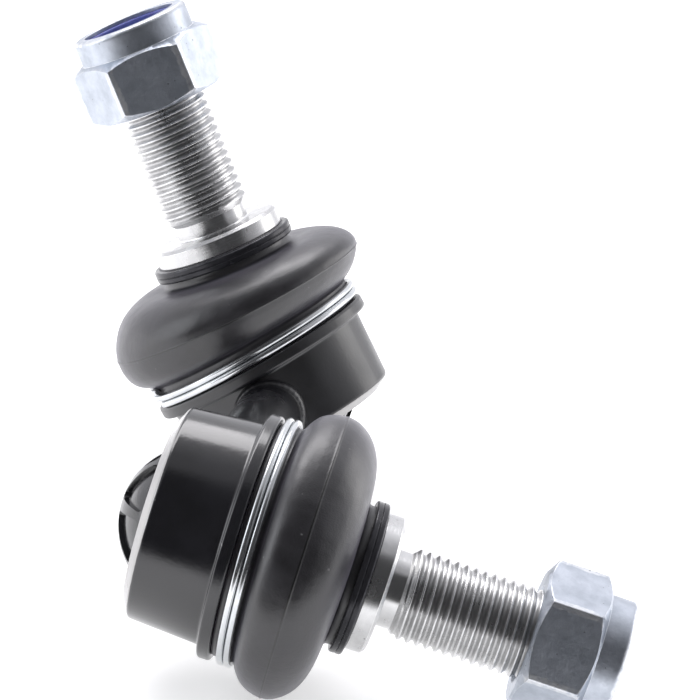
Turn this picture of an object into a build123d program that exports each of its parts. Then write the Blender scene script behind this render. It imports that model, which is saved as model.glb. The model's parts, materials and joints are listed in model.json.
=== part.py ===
from build123d import *
import os
from math import atan2, cos, degrees, radians, sin, sqrt, tan

# Stabiliser link: a short rod with a ball joint welded to each end.
# Each ball stud carries a rubber boot, a threaded shank and a self-locking nut.
# The link lies on a level floor, +Z up, its rod along +Y, as a link does on a bench.

# Link
link_length = 80.0
rod_d = 9.2
rod_below_ball = 1.7
joint_phase = 135.7
weld_leg = 0.6
weld_edge = 0.5

# How the link lies on the floor
rod_dip = 6.3
front_axis_angle = -8.6

# How far and which way each stud leans in its joint at rest, and the way its hex nut is turned
front_lean = 7.0
rear_lean = 8.2
front_lean_turn = 153.0
rear_lean_turn = -103.0
front_nut_turn = 6.4
rear_nut_turn = 1.6

# Ball, and the plastic seat that holds it
ball_d = 18.0
ball_clearance = 0.03
ball_flat_d = 6.4
seat_wall = 1.55
seat_floor = 0.9
seat_mouth_height = 4.2
seat_clearance = 0.05

# Housing, measured along its axis from the ball's centre
base_drop = 6.1
base_d = 28.0
base_roll = 1.15
flange_height = 3.7
flange_t = 1.75
flange_d = 32.4
flange_ledge = 1.5
boot_ledge = 2.6
boot_spigot_h = 3.1
mouth_d = 17.2
mouth_top_d = 21.4
flange_round = 0.4

# End cap, held under the rolled lip
cap_t = 1.3
cap_rim_d = 22.4
lip_t = 0.8
rib_count = 6
rib_w = 1.0
cap_turn = 25.0
hub_d = 1.6
pocket_depth = 0.65
pocket_round = 0.7

# Boot
boot_wall = 1.7
boot_max_d = 37.8
boot_bulge_height = 13.0
boot_bulge_bottom = 9.5
boot_bulge_foot_d = 32.6
boot_top_d = 22.0
boot_foot_wall = 1.75
boot_neck_wall = 0.7
boot_neck_base = 18.5
fit_gap = 0.03

# Clamp wire round the boot's foot
wire_d = 0.95
wire_pitch = 0.99
wire_turns = 2
wire_end_angle = 120.0

# Retaining ring round the boot's neck
neck_ring_h = 1.7
neck_ring_wall = 0.85
neck_ring_round = 0.35

# Ball stud, measured from the ball's centre
neck_d = 9.6
neck_straight_end = 12.6
cone_d = 17.0
cone_end = 18.6
collar_d = 18.2
collar_base = 21.4
collar_t = 2.55
collar_chamfer = 0.45
undercut_d = 10.2
undercut_w = 2.1
thread_d = 12.0
thread_chamfer = 0.9
stud_end = 51.9
socket_af = 6.0
socket_depth = 5.0

# Self-locking nut
nut_base = 43.2
nut_af = 18.0
nut_hex_h = 8.6
nut_face_d = 17.2
nut_chamfer_deg = 30.0
crown_d = 16.5
crown_h = 3.6
crown_round = 1.9
crown_opening_d = 13.2
crown_lip_t = 0.55
thread_gap = 0.06
insert_od = 14.4
insert_h = 2.6
bore_chamfer = 0.5

ball_r = ball_d / 2
wall_top_d = flange_d - 2 * flange_ledge
boot_spigot_d = flange_d - 2 * boot_ledge
seat_r = ball_r + ball_clearance
seat_od = 2 * (seat_r + seat_wall)
bore_d = seat_od + 2 * seat_clearance
flange_top = flange_height + flange_t
spigot_top = flange_top + boot_spigot_h
roll_bottom = -(base_drop + base_roll)
cap_bottom = roll_bottom + lip_t
cap_top = cap_bottom + cap_t
dome_inner_r = seat_r + seat_floor
dome_outer_r = dome_inner_r + cap_t
cap_open_r = sqrt(dome_outer_r**2 - cap_bottom**2) + seat_clearance
foot_r = boot_spigot_d / 2 + fit_gap + boot_foot_wall
ring_r = foot_r + wire_d / 2 + fit_gap
neck_sleeve_r = cone_d / 2 + fit_gap + boot_neck_wall
seat_face = collar_base + collar_t
insert_base = nut_hex_h + crown_h - crown_lip_t - fit_gap - insert_h


# Frames: one for the rod, and two for each joint, along its housing and along its stud
rod_dir = Vector(0, cos(radians(rod_dip)), -sin(radians(rod_dip)))
across_dir = Vector(1, 0, 0)
lift_dir = across_dir.cross(rod_dir)


def around_rod(angle):
    """Direction square to the rod, turned by an angle from level."""
    return across_dir * cos(radians(angle)) + lift_dir * sin(radians(angle))


def leaned(frame, lean_dir, angle):
    """A joint's frame turned about a line through the ball's centre."""
    turn = Axis((0, 0, 0), lean_dir)
    return Plane(frame.origin, x_dir=frame.x_dir.rotate(turn, angle), z_dir=frame.z_dir.rotate(turn, angle))


def lengthwise(frame):
    """Sketch plane through the axis: x is the radius, y the height."""
    return Plane(frame.origin, x_dir=frame.x_dir, z_dir=-frame.y_dir)


def spin_axis(frame):
    return Axis(frame.origin, frame.z_dir)


rod_plane = Plane((0, 0, 0), x_dir=across_dir, z_dir=rod_dir)
rod_ends = {"front": rod_plane, "rear": Plane(rod_dir * link_length, x_dir=across_dir, z_dir=-rod_dir)}
housing_axes = {"front": around_rod(front_axis_angle), "rear": around_rod(front_axis_angle + joint_phase)}
housing_frames = {
    side: Plane(
        rod_ends[side].origin + axis * rod_below_ball, x_dir=-rod_ends[side].z_dir, z_dir=axis
    )
    for side, axis in housing_axes.items()
}
lean_turns = {"front": radians(front_lean_turn), "rear": radians(rear_lean_turn)}
lean_dirs = {
    side: frame.z_dir.cross(frame.x_dir * cos(lean_turns[side]) + frame.y_dir * sin(lean_turns[side]))
    for side, frame in housing_frames.items()
}
lean_angles = {"front": front_lean, "rear": rear_lean}
nut_turns = {"front": front_nut_turn, "rear": rear_nut_turn}
stud_frames = {
    side: leaned(housing_frames[side], lean_dirs[side], lean_angles[side]) for side in housing_frames
}


def wall_radius(height):
    """Radius of the housing's tapered wall."""
    rise = (height + base_drop) / (flange_height + base_drop)
    return (base_d + (wall_top_d - base_d) * rise) / 2


# Housing: tapered wall, rolled lower lip, flange, and a spigot inside the boot's foot
def housing_outline():
    """Outer side of the housing, from the rolled lip's inner edge to the spigot's top."""
    Line((cap_open_r, roll_bottom), (base_d / 2 - base_roll, roll_bottom))
    JernArc((base_d / 2 - base_roll, roll_bottom), (1, 0), base_roll, 90)
    Polyline(
        (base_d / 2, -base_drop),
        (wall_top_d / 2, flange_height),
        (flange_d / 2 - flange_round, flange_height),
        (flange_d / 2, flange_height + flange_round),
        (flange_d / 2, flange_top - flange_round),
        (flange_d / 2 - flange_round, flange_top),
        (boot_spigot_d / 2, flange_top),
        (boot_spigot_d / 2, spigot_top),
    )


def make_housing(frame):
    seat_stop = seat_mouth_height + seat_clearance
    ledge = cap_top + seat_clearance
    with BuildPart() as housing:
        with BuildSketch(lengthwise(frame)):
            with BuildLine():
                housing_outline()
                Polyline(
                    (boot_spigot_d / 2, spigot_top),
                    (mouth_top_d / 2, spigot_top),
                    (mouth_d / 2, seat_stop),
                    (bore_d / 2, seat_stop),
                    (bore_d / 2, ledge),
                    (cap_rim_d / 2 + seat_clearance, ledge),
                    (cap_rim_d / 2 + seat_clearance, cap_bottom),
                    (cap_open_r, cap_bottom),
                    (cap_open_r, roll_bottom),
                )
            make_face()
        revolve(axis=spin_axis(frame))
    return housing.part


def make_envelope(frame):
    """The housing as if it were solid, for shaping what is welded to it."""
    with BuildPart() as envelope:
        with BuildSketch(lengthwise(frame)):
            with BuildLine():
                housing_outline()
                Polyline(
                    (boot_spigot_d / 2, spigot_top),
                    (0, spigot_top),
                    (0, roll_bottom),
                    (cap_open_r, roll_bottom),
                )
            make_face()
        revolve(axis=spin_axis(frame))
    return envelope.part


# Seat: a plastic cup that wraps the ball past its middle
def make_seat(frame):
    floor_r = dome_inner_r - seat_clearance
    shoulder = cap_top + 2 * seat_clearance
    floor_edge_r = sqrt(floor_r**2 - shoulder**2)
    mouth_r = sqrt(seat_r**2 - seat_mouth_height**2)
    mouth_angle = degrees(atan2(seat_mouth_height, mouth_r))
    floor_angle = degrees(atan2(shoulder, floor_edge_r))
    with BuildPart() as seat:
        with BuildSketch(lengthwise(frame)):
            with BuildLine():
                CenterArc((0, 0), floor_r, -90, 90 + floor_angle)
                Polyline(
                    (floor_edge_r, shoulder),
                    (seat_od / 2, shoulder),
                    (seat_od / 2, seat_mouth_height),
                    (mouth_r, seat_mouth_height),
                )
                CenterArc((0, 0), seat_r, -90, 90 + mouth_angle)
                Line((0, -seat_r), (0, -floor_r))
            make_face()
        revolve(axis=spin_axis(frame))
    return seat.part


# End cap: a dome over the ball, with ribs that meet at a hub and shallow pockets between them
def make_pockets(frame):
    half_angle = radians(180 / rib_count)
    tip = hub_d / 2 + rib_w / (2 * sin(half_angle))
    rim_r = cap_open_r - rib_w
    rim_angle = half_angle - atan2(rib_w / 2, rim_r)
    corner = (rim_r * cos(rim_angle), rim_r * sin(rim_angle))
    with BuildPart() as pockets:
        with BuildSketch(frame.offset(-2 * dome_outer_r)):
            with BuildSketch(mode=Mode.PRIVATE) as pocket:
                with BuildLine():
                    Line((tip, 0), corner)
                    ThreePointArc(corner, (rim_r, 0), (corner[0], -corner[1]))
                    Line((corner[0], -corner[1]), (tip, 0))
                make_face()
                fillet(pocket.vertices(), radius=pocket_round)
            with PolarLocations(0, rib_count, start_angle=cap_turn):
                add(pocket.sketch)
        extrude(amount=2 * dome_outer_r)
        with Locations(frame):
            Sphere(dome_outer_r - pocket_depth, mode=Mode.SUBTRACT)
    return pockets.part


def make_cap(frame):
    inner_edge_r = sqrt(dome_inner_r**2 - cap_top**2)
    outer_edge_r = sqrt(dome_outer_r**2 - cap_bottom**2)
    inner_angle = degrees(atan2(-cap_top, inner_edge_r))
    outer_angle = degrees(atan2(-cap_bottom, outer_edge_r))
    pockets = make_pockets(frame)
    with BuildPart() as cap:
        with BuildSketch(lengthwise(frame)):
            with BuildLine():
                CenterArc((0, 0), dome_outer_r, -90, 90 - outer_angle)
                Polyline(
                    (outer_edge_r, cap_bottom),
                    (cap_rim_d / 2, cap_bottom),
                    (cap_rim_d / 2, cap_top),
                    (inner_edge_r, cap_top),
                )
                CenterArc((0, 0), dome_inner_r, -90, 90 - inner_angle)
                Line((0, -dome_inner_r), (0, -dome_outer_r))
            make_face()
        revolve(axis=spin_axis(frame))
        add(pockets, mode=Mode.SUBTRACT)
    return cap.part


# Ball stud: ball, neck, cone under the boot's neck, collar, undercut and threaded shank
def make_stud(frame):
    ball_flat = -sqrt(ball_r**2 - (ball_flat_d / 2) ** 2)
    neck_start = sqrt(ball_r**2 - (neck_d / 2) ** 2)
    low_angle = degrees(atan2(ball_flat, ball_flat_d / 2))
    high_angle = degrees(atan2(neck_start, neck_d / 2))
    run_in = (thread_d - undercut_d) / 2
    with BuildPart() as stud:
        with BuildSketch(lengthwise(frame)):
            with BuildLine():
                Line((0, ball_flat), (ball_flat_d / 2, ball_flat))
                CenterArc((0, 0), ball_r, low_angle, high_angle - low_angle)
                Line((neck_d / 2, neck_start), (neck_d / 2, neck_straight_end))
                Spline(
                    (neck_d / 2, neck_straight_end),
                    (cone_d / 2, cone_end),
                    tangents=[(0, 1), (0, 1)],
                )
                Polyline(
                    (cone_d / 2, cone_end),
                    (cone_d / 2, collar_base),
                    (collar_d / 2, collar_base),
                    (collar_d / 2, seat_face - collar_chamfer),
                    (collar_d / 2 - collar_chamfer, seat_face),
                    (undercut_d / 2, seat_face),
                    (undercut_d / 2, seat_face + undercut_w),
                    (thread_d / 2, seat_face + undercut_w + run_in),
                    (thread_d / 2, stud_end - thread_chamfer),
                    (thread_d / 2 - thread_chamfer, stud_end),
                    (0, stud_end),
                    (0, ball_flat),
                )
            make_face()
        revolve(axis=spin_axis(frame))
        with BuildSketch(frame.offset(stud_end)):
            RegularPolygon(socket_af / 2, 6, major_radius=False)
        extrude(amount=-socket_depth, mode=Mode.SUBTRACT)
    return stud.part


# Boot: its foot follows the housing, its neck the stud, and the bulge leans half as far between them
def bulge_outline(foot, bulge, neck):
    """Half section of a bulge on two quarter ellipses; each point is a radius and a height."""
    low_r, up_r = bulge[0] - foot[0], bulge[0] - neck[0]
    EllipticalCenterArc((foot[0], bulge[1]), low_r, bulge[1] - foot[1], start_angle=270, arc_size=90)
    EllipticalCenterArc((neck[0], bulge[1]), up_r, neck[1] - bulge[1], start_angle=0, arc_size=90)
    Polyline(neck, (0, neck[1]), (0, foot[1]), foot)


def make_boot(side):
    frame = housing_frames[side]
    stud_frame = stud_frames[side]
    bulge_frame = leaned(frame, lean_dirs[side], lean_angles[side] / 2)
    foot_bottom = flange_top + fit_gap
    foot_bore_r = boot_spigot_d / 2 + fit_gap
    neck_bore_r = cone_d / 2 + fit_gap
    neck_top = collar_base - fit_gap
    bulge_r = boot_max_d / 2
    hollow_bottom = boot_bulge_bottom + boot_wall
    hollow_top = boot_neck_base - boot_wall
    with BuildPart() as boot:
        with BuildSketch(lengthwise(bulge_frame)):
            with BuildLine():
                bulge_outline(
                    (boot_bulge_foot_d / 2, boot_bulge_bottom),
                    (bulge_r, boot_bulge_height),
                    (boot_top_d / 2, boot_neck_base),
                )
            make_face()
        revolve(axis=spin_axis(bulge_frame))
        with BuildSketch(frame.offset(foot_bottom)):
            Circle(foot_r)
        extrude(amount=hollow_bottom - foot_bottom)
        with BuildSketch(stud_frame.offset(hollow_top)):
            Circle(neck_sleeve_r)
        extrude(amount=neck_top - hollow_top)
        with BuildSketch(lengthwise(bulge_frame)):
            with BuildLine():
                bulge_outline(
                    (boot_bulge_foot_d / 2 - boot_wall, hollow_bottom),
                    (bulge_r - boot_wall, boot_bulge_height),
                    (boot_top_d / 2 - boot_wall, hollow_top),
                )
            make_face()
        revolve(axis=spin_axis(bulge_frame), mode=Mode.SUBTRACT)
        with BuildSketch(frame.offset(foot_bottom)):
            Circle(foot_bore_r)
        extrude(amount=boot_bulge_height - foot_bottom, mode=Mode.SUBTRACT)
        with BuildSketch(stud_frame.offset(boot_bulge_height)):
            Circle(neck_bore_r)
        extrude(amount=neck_top - boot_bulge_height, mode=Mode.SUBTRACT)
    return boot.part


# Clamp wire: spring wire wound twice round the boot's foot, its ends cut square
def make_clamp_wire(frame):
    first_turn = frame.offset(flange_top + wire_d / 2 + fit_gap)
    with BuildPart() as wire:
        with BuildLine() as coil:
            for turn in range(wire_turns):
                Helix(wire_pitch, wire_pitch, ring_r, center=(0, 0, wire_pitch * turn))
        with BuildSketch(Plane(coil.line @ 0, z_dir=coil.line % 0)):
            Circle(wire_d / 2)
        sweep(path=coil.line, is_frenet=True)
    return wire.part.moved(first_turn.location * Rotation(0, 0, wire_end_angle))


# Retaining ring: holds the boot's neck on the stud, right under the collar
def make_neck_ring(frame):
    inner_r = neck_sleeve_r + fit_gap
    top = collar_base - 2 * fit_gap
    with BuildPart() as ring:
        with BuildSketch(lengthwise(frame)):
            with Locations((inner_r + neck_ring_wall / 2, top - neck_ring_h / 2)):
                RectangleRounded(neck_ring_wall, neck_ring_h, neck_ring_round)
        revolve(axis=spin_axis(frame))
    return ring.part


# Lock nut: hex body, chamfered corners, and a crown that holds the nylon insert
def make_nut(frame, turn):
    corner_r = nut_af / 2 / cos(radians(30))
    corner_drop = (corner_r - nut_face_d / 2) * tan(radians(nut_chamfer_deg))
    bore_r = thread_d / 2 + thread_gap
    opening_r = crown_opening_d / 2
    nut_top = nut_hex_h + crown_h
    nut_frame = frame.offset(nut_base)
    with BuildPart() as nut:
        with BuildSketch(nut_frame):
            RegularPolygon(nut_af / 2, 6, major_radius=False, rotation=30 + turn)
        extrude(amount=nut_hex_h)
        with BuildSketch(lengthwise(nut_frame)):
            with BuildLine():
                Polyline(
                    (0, 0),
                    (nut_face_d / 2, 0),
                    (corner_r, corner_drop),
                    (corner_r, nut_hex_h - corner_drop),
                    (nut_face_d / 2, nut_hex_h),
                    (0, nut_hex_h),
                    close=True,
                )
            make_face()
        revolve(axis=spin_axis(frame), mode=Mode.INTERSECT)
        with BuildSketch(lengthwise(nut_frame)):
            with BuildLine():
                Polyline(
                    (0, nut_hex_h),
                    (crown_d / 2, nut_hex_h),
                    (crown_d / 2, nut_top - crown_round),
                )
                RadiusArc(
                    (crown_d / 2, nut_top - crown_round), (crown_d / 2 - crown_round, nut_top), -crown_round
                )
                Polyline((crown_d / 2 - crown_round, nut_top), (0, nut_top), (0, nut_hex_h))
            make_face()
        revolve(axis=spin_axis(frame))
        with BuildSketch(lengthwise(nut_frame)):
            with BuildLine():
                Polyline(
                    (0, 0),
                    (bore_r + bore_chamfer, 0),
                    (bore_r, bore_chamfer),
                    (bore_r, insert_base - fit_gap),
                    (insert_od / 2 + fit_gap, insert_base - fit_gap),
                    (insert_od / 2 + fit_gap, nut_top - crown_lip_t),
                    (opening_r, nut_top - crown_lip_t),
                    (opening_r, nut_top),
                    (0, nut_top),
                    close=True,
                )
            make_face()
        revolve(axis=spin_axis(frame), mode=Mode.SUBTRACT)
    return nut.part


def make_insert(frame):
    with BuildPart() as insert:
        with BuildSketch(frame.offset(nut_base + insert_base)):
            Circle(insert_od / 2)
            Circle(thread_d / 2 + thread_gap, mode=Mode.SUBTRACT)
        extrude(amount=insert_h)
    return insert.part


# Rod: round bar, its ends shaped to the housings' walls
def make_rod(envelopes):
    with BuildPart() as rod:
        with BuildSketch(rod_plane):
            Circle(rod_d / 2)
        extrude(amount=link_length)
        for envelope in envelopes:
            add(envelope, mode=Mode.SUBTRACT)
    return rod.part


# Weld: a collar of weld metal where the rod meets a housing, shaped to the housing's wall
def make_weld(end_plane, envelope):
    rod_r = rod_d / 2
    foot = wall_radius(-rod_below_ball)
    sunk = foot - sqrt(foot**2 - (rod_r + weld_leg) ** 2) + weld_leg
    with BuildPart() as weld:
        with BuildSketch(lengthwise(end_plane)):
            with BuildLine():
                Polyline(
                    (rod_r, foot + weld_edge + weld_leg),
                    (rod_r, foot - sunk),
                    (rod_r + weld_leg, foot - sunk),
                    (rod_r + weld_leg, foot + weld_edge),
                    close=True,
                )
            make_face()
        revolve(axis=spin_axis(end_plane))
        add(envelope, mode=Mode.SUBTRACT)
    return weld.part


envelopes = {side: make_envelope(frame) for side, frame in housing_frames.items()}
pieces = {"link_rod": make_rod(envelopes.values())}
for side, frame in housing_frames.items():
    stud_frame = stud_frames[side]
    pieces[f"{side}_weld"] = make_weld(rod_ends[side], envelopes[side])
    pieces[f"{side}_housing"] = make_housing(frame)
    pieces[f"{side}_ball_seat"] = make_seat(frame)
    pieces[f"{side}_end_cap"] = make_cap(frame)
    pieces[f"{side}_ball_stud"] = make_stud(stud_frame)
    pieces[f"{side}_boot"] = make_boot(side)
    pieces[f"{side}_clamp_wire"] = make_clamp_wire(frame)
    pieces[f"{side}_neck_ring"] = make_neck_ring(stud_frame)
    pieces[f"{side}_lock_nut"] = make_nut(stud_frame, nut_turns[side])
    pieces[f"{side}_nylon_insert"] = make_insert(stud_frame)

# The origin is under the middle of the whole link, on the floor
boxes = [piece.bounding_box() for piece in pieces.values()]
middle_x = (min(box.min.X for box in boxes) + max(box.max.X for box in boxes)) / 2
middle_y = (min(box.min.Y for box in boxes) + max(box.max.Y for box in boxes)) / 2
floor_z = min(box.min.Z for box in boxes)
to_floor = Location((-middle_x, -middle_y, -floor_z))
os.makedirs("parts", exist_ok=True)
for name, piece in pieces.items():
    placed = piece.moved(to_floor)
    placed.label = name
    export_step(placed, f"parts/{name}.step")
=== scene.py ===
import bpy
import bmesh
import json
from math import acos, atan2, cos, degrees, pi, radians, sin, sqrt, tan
from mathutils import Matrix, Vector


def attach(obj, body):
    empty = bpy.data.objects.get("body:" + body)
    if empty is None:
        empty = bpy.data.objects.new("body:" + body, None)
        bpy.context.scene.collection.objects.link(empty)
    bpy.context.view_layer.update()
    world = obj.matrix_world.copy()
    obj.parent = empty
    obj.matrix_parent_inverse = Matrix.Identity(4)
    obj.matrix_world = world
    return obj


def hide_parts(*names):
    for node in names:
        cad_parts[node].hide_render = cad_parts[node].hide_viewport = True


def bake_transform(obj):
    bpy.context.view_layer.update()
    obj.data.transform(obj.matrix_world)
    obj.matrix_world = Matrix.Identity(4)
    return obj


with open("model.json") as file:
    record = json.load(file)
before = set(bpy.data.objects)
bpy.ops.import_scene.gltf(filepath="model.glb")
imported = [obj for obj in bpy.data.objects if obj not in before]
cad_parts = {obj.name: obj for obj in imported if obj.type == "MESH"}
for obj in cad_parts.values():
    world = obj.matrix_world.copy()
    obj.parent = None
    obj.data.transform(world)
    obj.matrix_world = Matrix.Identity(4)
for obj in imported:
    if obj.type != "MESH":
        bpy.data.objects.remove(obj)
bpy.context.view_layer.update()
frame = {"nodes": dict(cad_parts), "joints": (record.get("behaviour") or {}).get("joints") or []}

# Lengths are in millimetres, heights along a joint's axis from its ball's centre, and angles in degrees
MM = 0.001
ROD_DIP = 6.3
AXIS_ANGLES = {"front": -8.6, "rear": 127.1}
ROD_R = 4.6
ROD_BELOW_BALL = 1.7

# Welds
WELD_LEG = 0.6
WELD_EDGE = 0.5
WELD_SINK = 0.15
WELD_SWELL = 0.05
WELD_RIPPLES = 34
WELD_RIPPLE = 0.02
WELD_RIPPLE_LEAN = 2.2
WELD_LUMPS = 5
WELD_LUMP = 0.04
WELD_ROOT = ((-0.25, 1.2), (0.5, -0.4))
WELD_STEPS = 240
WELD_ROWS = 8

# Housings
BASE_DROP = 6.1
BASE_R = 14.0
BASE_ROLL = 1.15
BASE_CORNER_RISE = 0.25
BASE_CORNER_DROP = 0.05
LIP_IN = 2.0
WALL_TOP_R = 14.7
FLANGE_LOW = 3.7
FLANGE_TOP = 5.45
FLANGE_R = 16.2
SPIGOT_R = 13.6
SPIGOT_TOP = 8.55
MOUTH_R = 8.6
MOUTH_TOP_R = 10.7
BORE_R = 10.63
SEAT_STOP = 4.25
LEDGE = -5.1
CAP_RIM_R = 11.25
CAP_BOTTOM = -6.45
CAP_OPEN_R = 9.24
LIP_WEAR = 3.0
LIP_WEAR_MARGIN = 0.1
EDGE_WEAR = 0.45
HOUSING_STEPS = 160

# Boots
BOOT_FOOT = 5.48
BOOT_FOOT_R = 15.38
BOOT_FOOT_BORE = 13.63
BOOT_FOOT_EDGE = 0.3
BOOT_FOOT_CUT = 0.09
BOOT_NECK_R = 9.23
BOOT_NECK_BORE = 8.53
BOOT_NECK_EDGE = 0.1
BOOT_TOP = 21.37
BOOT_STEPS = 180
BEND_FROM = 8.5
BEND_TO = 18.5
DIMPLES_LOW = (8.6, 11.5)
DIMPLES_HIGH = (16.0, 19.0)
DIMPLES_NEAR = (9.8, 13.0)
DIMPLE_WAVES = ((3, 0.0, 0.7, 0.05), (7, 0.5, 0.0, 0.035), (13, -0.8, 0.0, 0.02))
DIMPLE_SINK = 0.09

# Clamp wires
WIRE_R = 0.475
WIRE_RING_R = 15.885
WIRE_PITCH = 0.99
WIRE_TURNS = 2
WIRE_LOW = 5.955
WIRE_END_ANGLE = 120.0
WIRE_STEPS = 110
WIRE_SIDES = 14
WIRE_CAP_SHARE = 0.82
WIRE_CAP_OUT = 0.1
WIRE_POLE_OUT = 0.12

# Neck rings
RING_INNER = 9.26
RING_OUTER = 10.11
RING_LOW = 19.64
RING_TOP = 21.34
RING_ROUND = 0.38
RING_GROOVE = 0.16
RING_GROOVE_HALF = 0.1
RING_STEPS = 144

# Ball studs
BALL_R = 9.0
BALL_FLAT_R = 3.2
BALL_STEPS = 40
NECK_R = 4.8
NECK_LOW = 8.6
CONE_LOW = 12.6
CONE_H = 6.0
CONE_R = 8.5
CONE_STEPS = 12
COLLAR_R = 9.1
COLLAR_LOW = 21.4
COLLAR_CHAMFER = 0.45
SEAT_FACE = 23.95
UNDERCUT_R = 5.1
STUD_END = 51.9
SOCKET_R = 3.0
SOCKET_DEPTH = 5.0
SOCKET_POINT = 0.9
SOCKET_CHAMFER = 0.25
SOCKET_ROUND = 0.12

# Threads
THREAD_LOW = 26.05
THREAD_R = 6.0
THREAD_ROOT_R = 5.44
THREAD_PITCH = 1.25
THREAD_CHAMFER = 0.9
THREAD_CREST = 0.06
THREAD_STEPS = 120
THREAD_SPARE_TURNS = 3
THREAD_LEAD_TURNS = 1.5
THREAD_TURN_MERGE = 0.001
THREAD_MERGE = 0.002

# Lock nuts and their inserts
NUT_BASE = 43.2
NUT_HALF_AF = 9.0
NUT_HEX_H = 8.6
NUT_HEX_ROUND = 0.35
NUT_FACE_R = 8.6
NUT_CHAMFER = 30
NUT_CROWN_R = 8.25
NUT_CROWN_ROUND = 1.85
NUT_TOP = 12.2
NUT_ROLL = 0.55
NUT_OPENING_R = 6.6
NUT_BORE_R = 6.06
NUT_BORE_CHAMFER = 0.5
NUT_BORE_LOW = 3.0
NUT_BORE_HIGH = 6.0
NUT_CORNER = {"front": 16.0, "rear": 40.5}
NUT_CORNER_FROM = 1.12
INSERT_LOW = 9.02
INSERT_R = 7.2
INSERT_H = 2.6
INSERT_GAP = 0.03
INSERT_STEPS = 96

# Rounding of the profiles' corners, and the meshes
ROUND_SHARE = 0.42
ROUND_LEAD = 0.04
ROUND_STEP = 15
ROUND_MIN_STEPS = 3
CURVE_STEPS = 6
SHARP_ANGLE = 38
MERGE = 0.0005

# The camera, from a fit of both joints in the photograph: rod and near housing axis in its own axes
SEEN_ROD = Vector((0.1323, 0.1961, -0.9716))
SEEN_AXIS = Vector((0.954, -0.2912, 0.0711))
SEEN_BALL = Vector((-18.23, -22.43, -722.5)) * MM
FOCAL_PX = 5684
PHOTO_PX = 700
SENSOR_MM = 36.0
CLIP = (0.01, 50)

# Floor and surround, in metres; a mirrored ray sees the surround by how far it goes toward the camera
FLOOR_HALF = 3.0
FLOOR_LIFT = 0.5
FLOOR_FRONT = 0.085
FLOOR_FRONT_BLEND = 0.02
FLOOR_DARK = 0.02
WORLD_LIGHT = 0.85
WORLD_COLOUR = (0.95, 0.95, 1.0, 1)
MIRROR_SIDES = (0.68, 0.55, 0.05, 0.45)
MIRROR_BEHIND = (0.35, -0.2, 0.0, 0.6)

# Lights: name, direction in the camera's own axes, width, height, watts and colour
LIGHT_AIM = Vector((0, 0, 0.03))
LIGHT_DISTANCE = 0.8
LIGHTS = [
    ("light_top", (-0.15, 1.0, -0.2), 0.7, 0.4, 3.5, (1.0, 0.98, 1.0)),
    ("light_left", (-1.0, 0.25, 0.2), 0.4, 0.7, 1.5, (0.93, 0.96, 1.0)),
    ("light_right", (1.0, 0.2, -0.45), 0.4, 0.7, 1.5, (1.0, 0.98, 0.96)),
]


# A frame from its origin, its z direction and about its x direction
def axes_matrix(origin, x_dir, z_dir):
    x_dir = (x_dir - z_dir * x_dir.dot(z_dir)).normalized()
    y_dir = z_dir.cross(x_dir)
    made = Matrix((x_dir, y_dir, z_dir)).transposed().to_4x4()
    made.translation = origin
    return made


# Frames of the joints: each housing, and each stud as it leans at rest
rod_dir = Vector((0, cos(radians(ROD_DIP)), -sin(radians(ROD_DIP))))
across = Vector((1, 0, 0))
lift = across.cross(rod_dir)
joints = {j["name"]: j for j in frame["joints"]}
housings, studs, leans = {}, {}, {}
for side, angle in AXIS_ANGLES.items():
    axis = across * cos(radians(angle)) + lift * sin(radians(angle))
    stud_axis = Vector(joints[side + "_spin"]["axis"]).normalized()
    ball = Vector(joints[side + "_swing"]["pos_m"])
    away = -rod_dir if side == "front" else rod_dir
    turn = axis.rotation_difference(stud_axis)
    housings[side] = axes_matrix(ball, away, axis)
    studs[side] = axes_matrix(ball, turn @ away, stud_axis)
    leans[side] = (turn.axis, turn.angle)


def smooth_step(x, low, high):
    t = min(1.0, max(0.0, (x - low) / (high - low)))
    return t * t * (3 - 2 * t)


def around(count):
    return [2 * pi * k / count for k in range(count)]


# A rounded corner as points (radius, height, edge), where edge rises to 1 in the middle of the rounding
def corner_arc(before, at, after, size):
    a, p, b = Vector(before), Vector(at), Vector(after)
    to_a, to_b = a - p, b - p
    half = to_a.angle(to_b) / 2
    reach = min(size / tan(half), ROUND_SHARE * to_a.length, ROUND_SHARE * to_b.length)
    size = reach * tan(half)
    to_a.normalize()
    to_b.normalize()
    centre = p + (to_a + to_b).normalized() * (size / sin(half))
    start = p + to_a * reach - centre
    end = p + to_b * reach - centre
    sweep = pi - 2 * half
    if start.x * end.y - start.y * end.x < 0:
        sweep = -sweep
    steps = max(ROUND_MIN_STEPS, round(degrees(abs(sweep)) / ROUND_STEP))
    points = [(*(p + to_a * (reach + ROUND_LEAD)), 0.0)]
    for i in range(steps + 1):
        v = Matrix.Rotation(sweep * i / steps, 2) @ start
        points.append((*(centre + v), sin(pi * i / steps) ** 0.5))
    points.append((*(p + to_b * (reach + ROUND_LEAD)), 0.0))
    return points


# A profile from corners (radius, height) or (radius, height, rounding)
def profile(corners, closed=True):
    points = []
    count = len(corners)
    for i, c in enumerate(corners):
        inner = closed or 0 < i < count - 1
        if len(c) > 2 and inner:
            points += corner_arc(corners[i - 1][:2], c[:2], corners[(i + 1) % count][:2], c[2])
        else:
            points.append((c[0], c[1], 0.0))
    return points


# A Catmull-Rom curve through points, for moulded shapes
def curve_through(points):
    made = []
    last = len(points) - 1
    for i in range(last):
        p = [Vector(points[max(0, min(last, i + k))]) for k in (-1, 0, 1, 2)]
        for s in range(CURVE_STEPS):
            t = s / CURVE_STEPS
            made.append(tuple(0.5 * (
                2 * p[1] + (p[2] - p[0]) * t + (2 * p[0] - 5 * p[1] + 4 * p[2] - p[3]) * t**2
                + (3 * p[1] - p[0] - 3 * p[2] + p[3]) * t**3
            )))
    return made + [tuple(points[-1])]


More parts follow.
